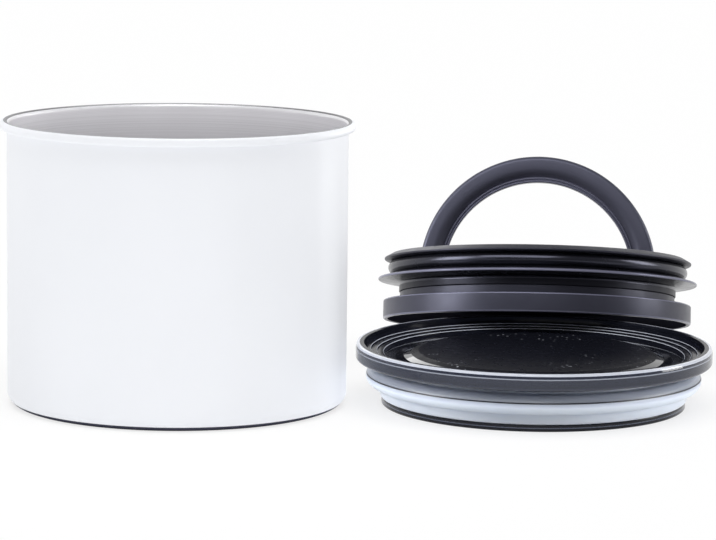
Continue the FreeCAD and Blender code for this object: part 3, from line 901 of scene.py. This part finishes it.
lid_pieces = [outer_lid, outer_band] + inner_lid_pieces


# Floor and backdrop

FLOOR_HALF_SIZE = 6.0
FLOOR_GLOW = 0.75
ROOM_LIGHT = 0.22
ROOM_DIM = 0.25


def seeing_rays(tree):
    """Outputs that are 1 for the camera's rays, and for rays that a mirror or clear piece sends on."""
    path = tree.nodes.new("ShaderNodeLightPath").outputs
    mirrored = combined(tree, "MAXIMUM", path["Is Glossy Ray"], path["Is Transmission Ray"])
    return path["Is Camera Ray"], mirrored


def make_floor():
    """Wide pale floor, nearly white to the camera and to what mirrors it, which keeps the object's shadow."""
    mesh_data = bmesh.new()
    bmesh.ops.create_grid(mesh_data, x_segments=1, y_segments=1, size=FLOOR_HALF_SIZE)
    mesh = bpy.data.meshes.new("floor")
    mesh_data.to_mesh(mesh)
    mesh_data.free()
    floor = bpy.data.objects.new("floor", mesh)
    bpy.context.scene.collection.objects.link(floor)
    nodes = Nodes("pale_floor")
    nodes.set(Base_Color=(0.9, 0.9, 0.9, 1), Roughness=0.7)
    glow = nodes.add("ShaderNodeEmission", Color=(1, 1, 1, 1), Strength=1.0)
    mix = nodes.add("ShaderNodeMixShader")
    seen = combined(nodes.tree, "MAXIMUM", *seeing_rays(nodes.tree))
    nodes.link(combined(nodes.tree, "MULTIPLY", seen, FLOOR_GLOW), mix.inputs["Fac"])
    nodes.link(nodes.shader.outputs["BSDF"], mix.inputs[1])
    nodes.link(glow.outputs["Emission"], mix.inputs[2])
    nodes.link(mix.outputs["Shader"], nodes.tree.nodes["Material Output"].inputs["Surface"])
    mesh.materials.append(nodes.material)
    return floor


def make_world():
    """White backdrop to the camera and to what mirrors it from behind, softer as a light."""
    world = bpy.data.worlds.new("studio")
    bpy.context.scene.world = world
    world.use_nodes = True
    tree = world.node_tree
    backdrop = tree.nodes["Background"]
    backdrop.inputs["Color"].default_value = (1, 1, 1, 1)
    direction = tree.nodes.new("ShaderNodeSeparateXYZ")
    place = tree.nodes.new("ShaderNodeTexCoord").outputs["Generated"]
    tree.links.new(place, direction.inputs["Vector"])
    backwards = ranged(tree, direction.outputs["Y"], -0.5, 0.5, ROOM_DIM, 1.0)
    upwards = ranged(tree, direction.outputs["Z"], 0.40, 0.65, 1.0, ROOM_DIM)
    camera_rays, mirrored_rays = seeing_rays(tree)
    level = tree.nodes.new("ShaderNodeMix")
    level.inputs["A"].default_value = ROOM_LIGHT
    tree.links.new(mirrored_rays, level.inputs["Factor"])
    tree.links.new(combined(tree, "MINIMUM", backwards, upwards), level.inputs["B"])
    strength = combined(tree, "MAXIMUM", level.outputs["Result"], camera_rays)
    tree.links.new(strength, backdrop.inputs["Strength"])


# Light

LIDS = Vector((0.10, 0.04, 0.04))
POT = Vector((0, 0, 0.06))
POT_RING = {-115: 1.95, -75: 2.12, -25: 2.1, 25: 2.1, 75: 2.45, 124: 5.2}
POT_RING_HEIGHT = 0.08
FLOOR_LIGHT = 2.9
FLOOR_LIGHT_SPREAD = math.radians(70)
FLOOR_LIGHT_TILT = math.radians(12)


def collected(name, things):
    """Collection of some things, for a lamp to be linked to."""
    collection = bpy.data.collections.new(name)
    for thing in things:
        collection.objects.link(thing)
    return collection


def add_lamp(lamp, place, lit, shading):
    """Lamp in its place, which lights some things alone and is shaded by some."""
    holder = bpy.data.objects.new(lamp.name, lamp)
    holder.light_linking.receiver_collection = collected(f"{lamp.name}_lit", lit)
    holder.light_linking.blocker_collection = collected(f"{lamp.name}_shading", shading)
    bpy.context.scene.collection.objects.link(holder)
    holder.location = place
    return holder


def make_softbox(name, place, target, size, brightness, lit, shading):
    """Soft lamp of an even brightness, where white is 1, turned to its target."""
    lamp = bpy.data.lights.new(name, "AREA")
    lamp.shape = "RECTANGLE"
    lamp.size, lamp.size_y = size
    lamp.energy = brightness * math.pi * size[0] * size[1]
    holder = add_lamp(lamp, place, lit, shading)
    holder.rotation_euler = (target - Vector(place)).to_track_quat("-Z", "Y").to_euler()


def make_floor_light(floor, shading):
    """Even soft light on the floor, from above and a little in front, which leaves the object's shadow."""
    lamp = bpy.data.lights.new("floor_light", "SUN")
    lamp.energy = FLOOR_LIGHT
    lamp.angle = FLOOR_LIGHT_SPREAD
    holder = add_lamp(lamp, (0, 0, 2), [floor], shading)
    holder.rotation_euler = (FLOOR_LIGHT_TILT, 0, 0)


def light_lids():
    """Lamps on the lids. The left one leaves out the outer lid's shell."""
    without_shell = [outer_band] + inner_lid_pieces
    make_softbox("back_top", (0.02, 0.95, 0.42), LIDS, (0.7, 0.30), 1.7, lid_pieces, lid_pieces)
    make_softbox("front_top", (-0.20, -0.65, 0.95), LIDS, (1.2, 0.70), 5.0, lid_pieces, lid_pieces)
    make_softbox("left_side", (-0.63, -0.13, 0.28), LIDS, (0.40, 0.50), 10.0, without_shell, lid_pieces)
    make_softbox("right_side", (0.93, 0.06, 0.28), LIDS, (0.30, 0.50), 7.0, lid_pieces, lid_pieces)


def light_pot():
    """Lamps on the canister: a ring round it, one above it and one behind."""
    for turn, brightness in POT_RING.items():
        angle = math.radians(turn)
        place = (math.sin(angle), -math.cos(angle), POT_RING_HEIGHT)
        make_softbox(f"pot_{turn}", place, POT, (0.5, 0.5), brightness, pot_pieces, pot_pieces)
    make_softbox("pot_top", (0.0, -0.30, 1.1), POT, (0.7, 0.5), 5.6, pot_pieces, pot_pieces)
    make_softbox("pot_back", (0.0, 0.45, 1.0), POT, (0.7, 0.5), 4.0, pot_pieces, pot_pieces)


def light_band():
    """One more lamp, on the outer lid's band alone."""
    make_softbox("band_right", (0.95, -0.25, 0.15), LIDS, (0.40, 0.40), 9.0, [outer_band], lid_pieces)


# Camera

CAMERA_PLACE = Vector((64.6, -1200.0, 225.1)) * MM
CAMERA_PITCH = math.radians(8.38)
CAMERA_ROLL = math.radians(0.65)
CAMERA_LENS = 170.2
SENSOR_WIDTH = 36.0


def make_camera():
    """Camera at the photo's viewing angle, a little rolled as it is there."""
    lens = bpy.data.cameras.new("camera")
    lens.sensor_fit = "HORIZONTAL"
    lens.sensor_width = SENSOR_WIDTH
    lens.lens = CAMERA_LENS
    lens.clip_start = 0.05
    lens.clip_end = 50.0
    camera = bpy.data.objects.new("camera", lens)
    bpy.context.scene.collection.objects.link(camera)
    ahead = Vector((0, math.cos(CAMERA_PITCH), -math.sin(CAMERA_PITCH)))
    level_right = Vector((1, 0, 0))
    level_up = level_right.cross(ahead)
    right = level_right * math.cos(CAMERA_ROLL) + level_up * math.sin(CAMERA_ROLL)
    camera.matrix_world = axes_at(right, right.cross(ahead), -ahead, CAMERA_PLACE)
    bpy.context.scene.camera = camera


floor = make_floor()
make_world()
light_lids()
light_pot()
light_band()
make_floor_light(floor, pot_pieces + lid_pieces)
make_camera()
bpy.context.scene.view_settings.view_transform = "Standard"
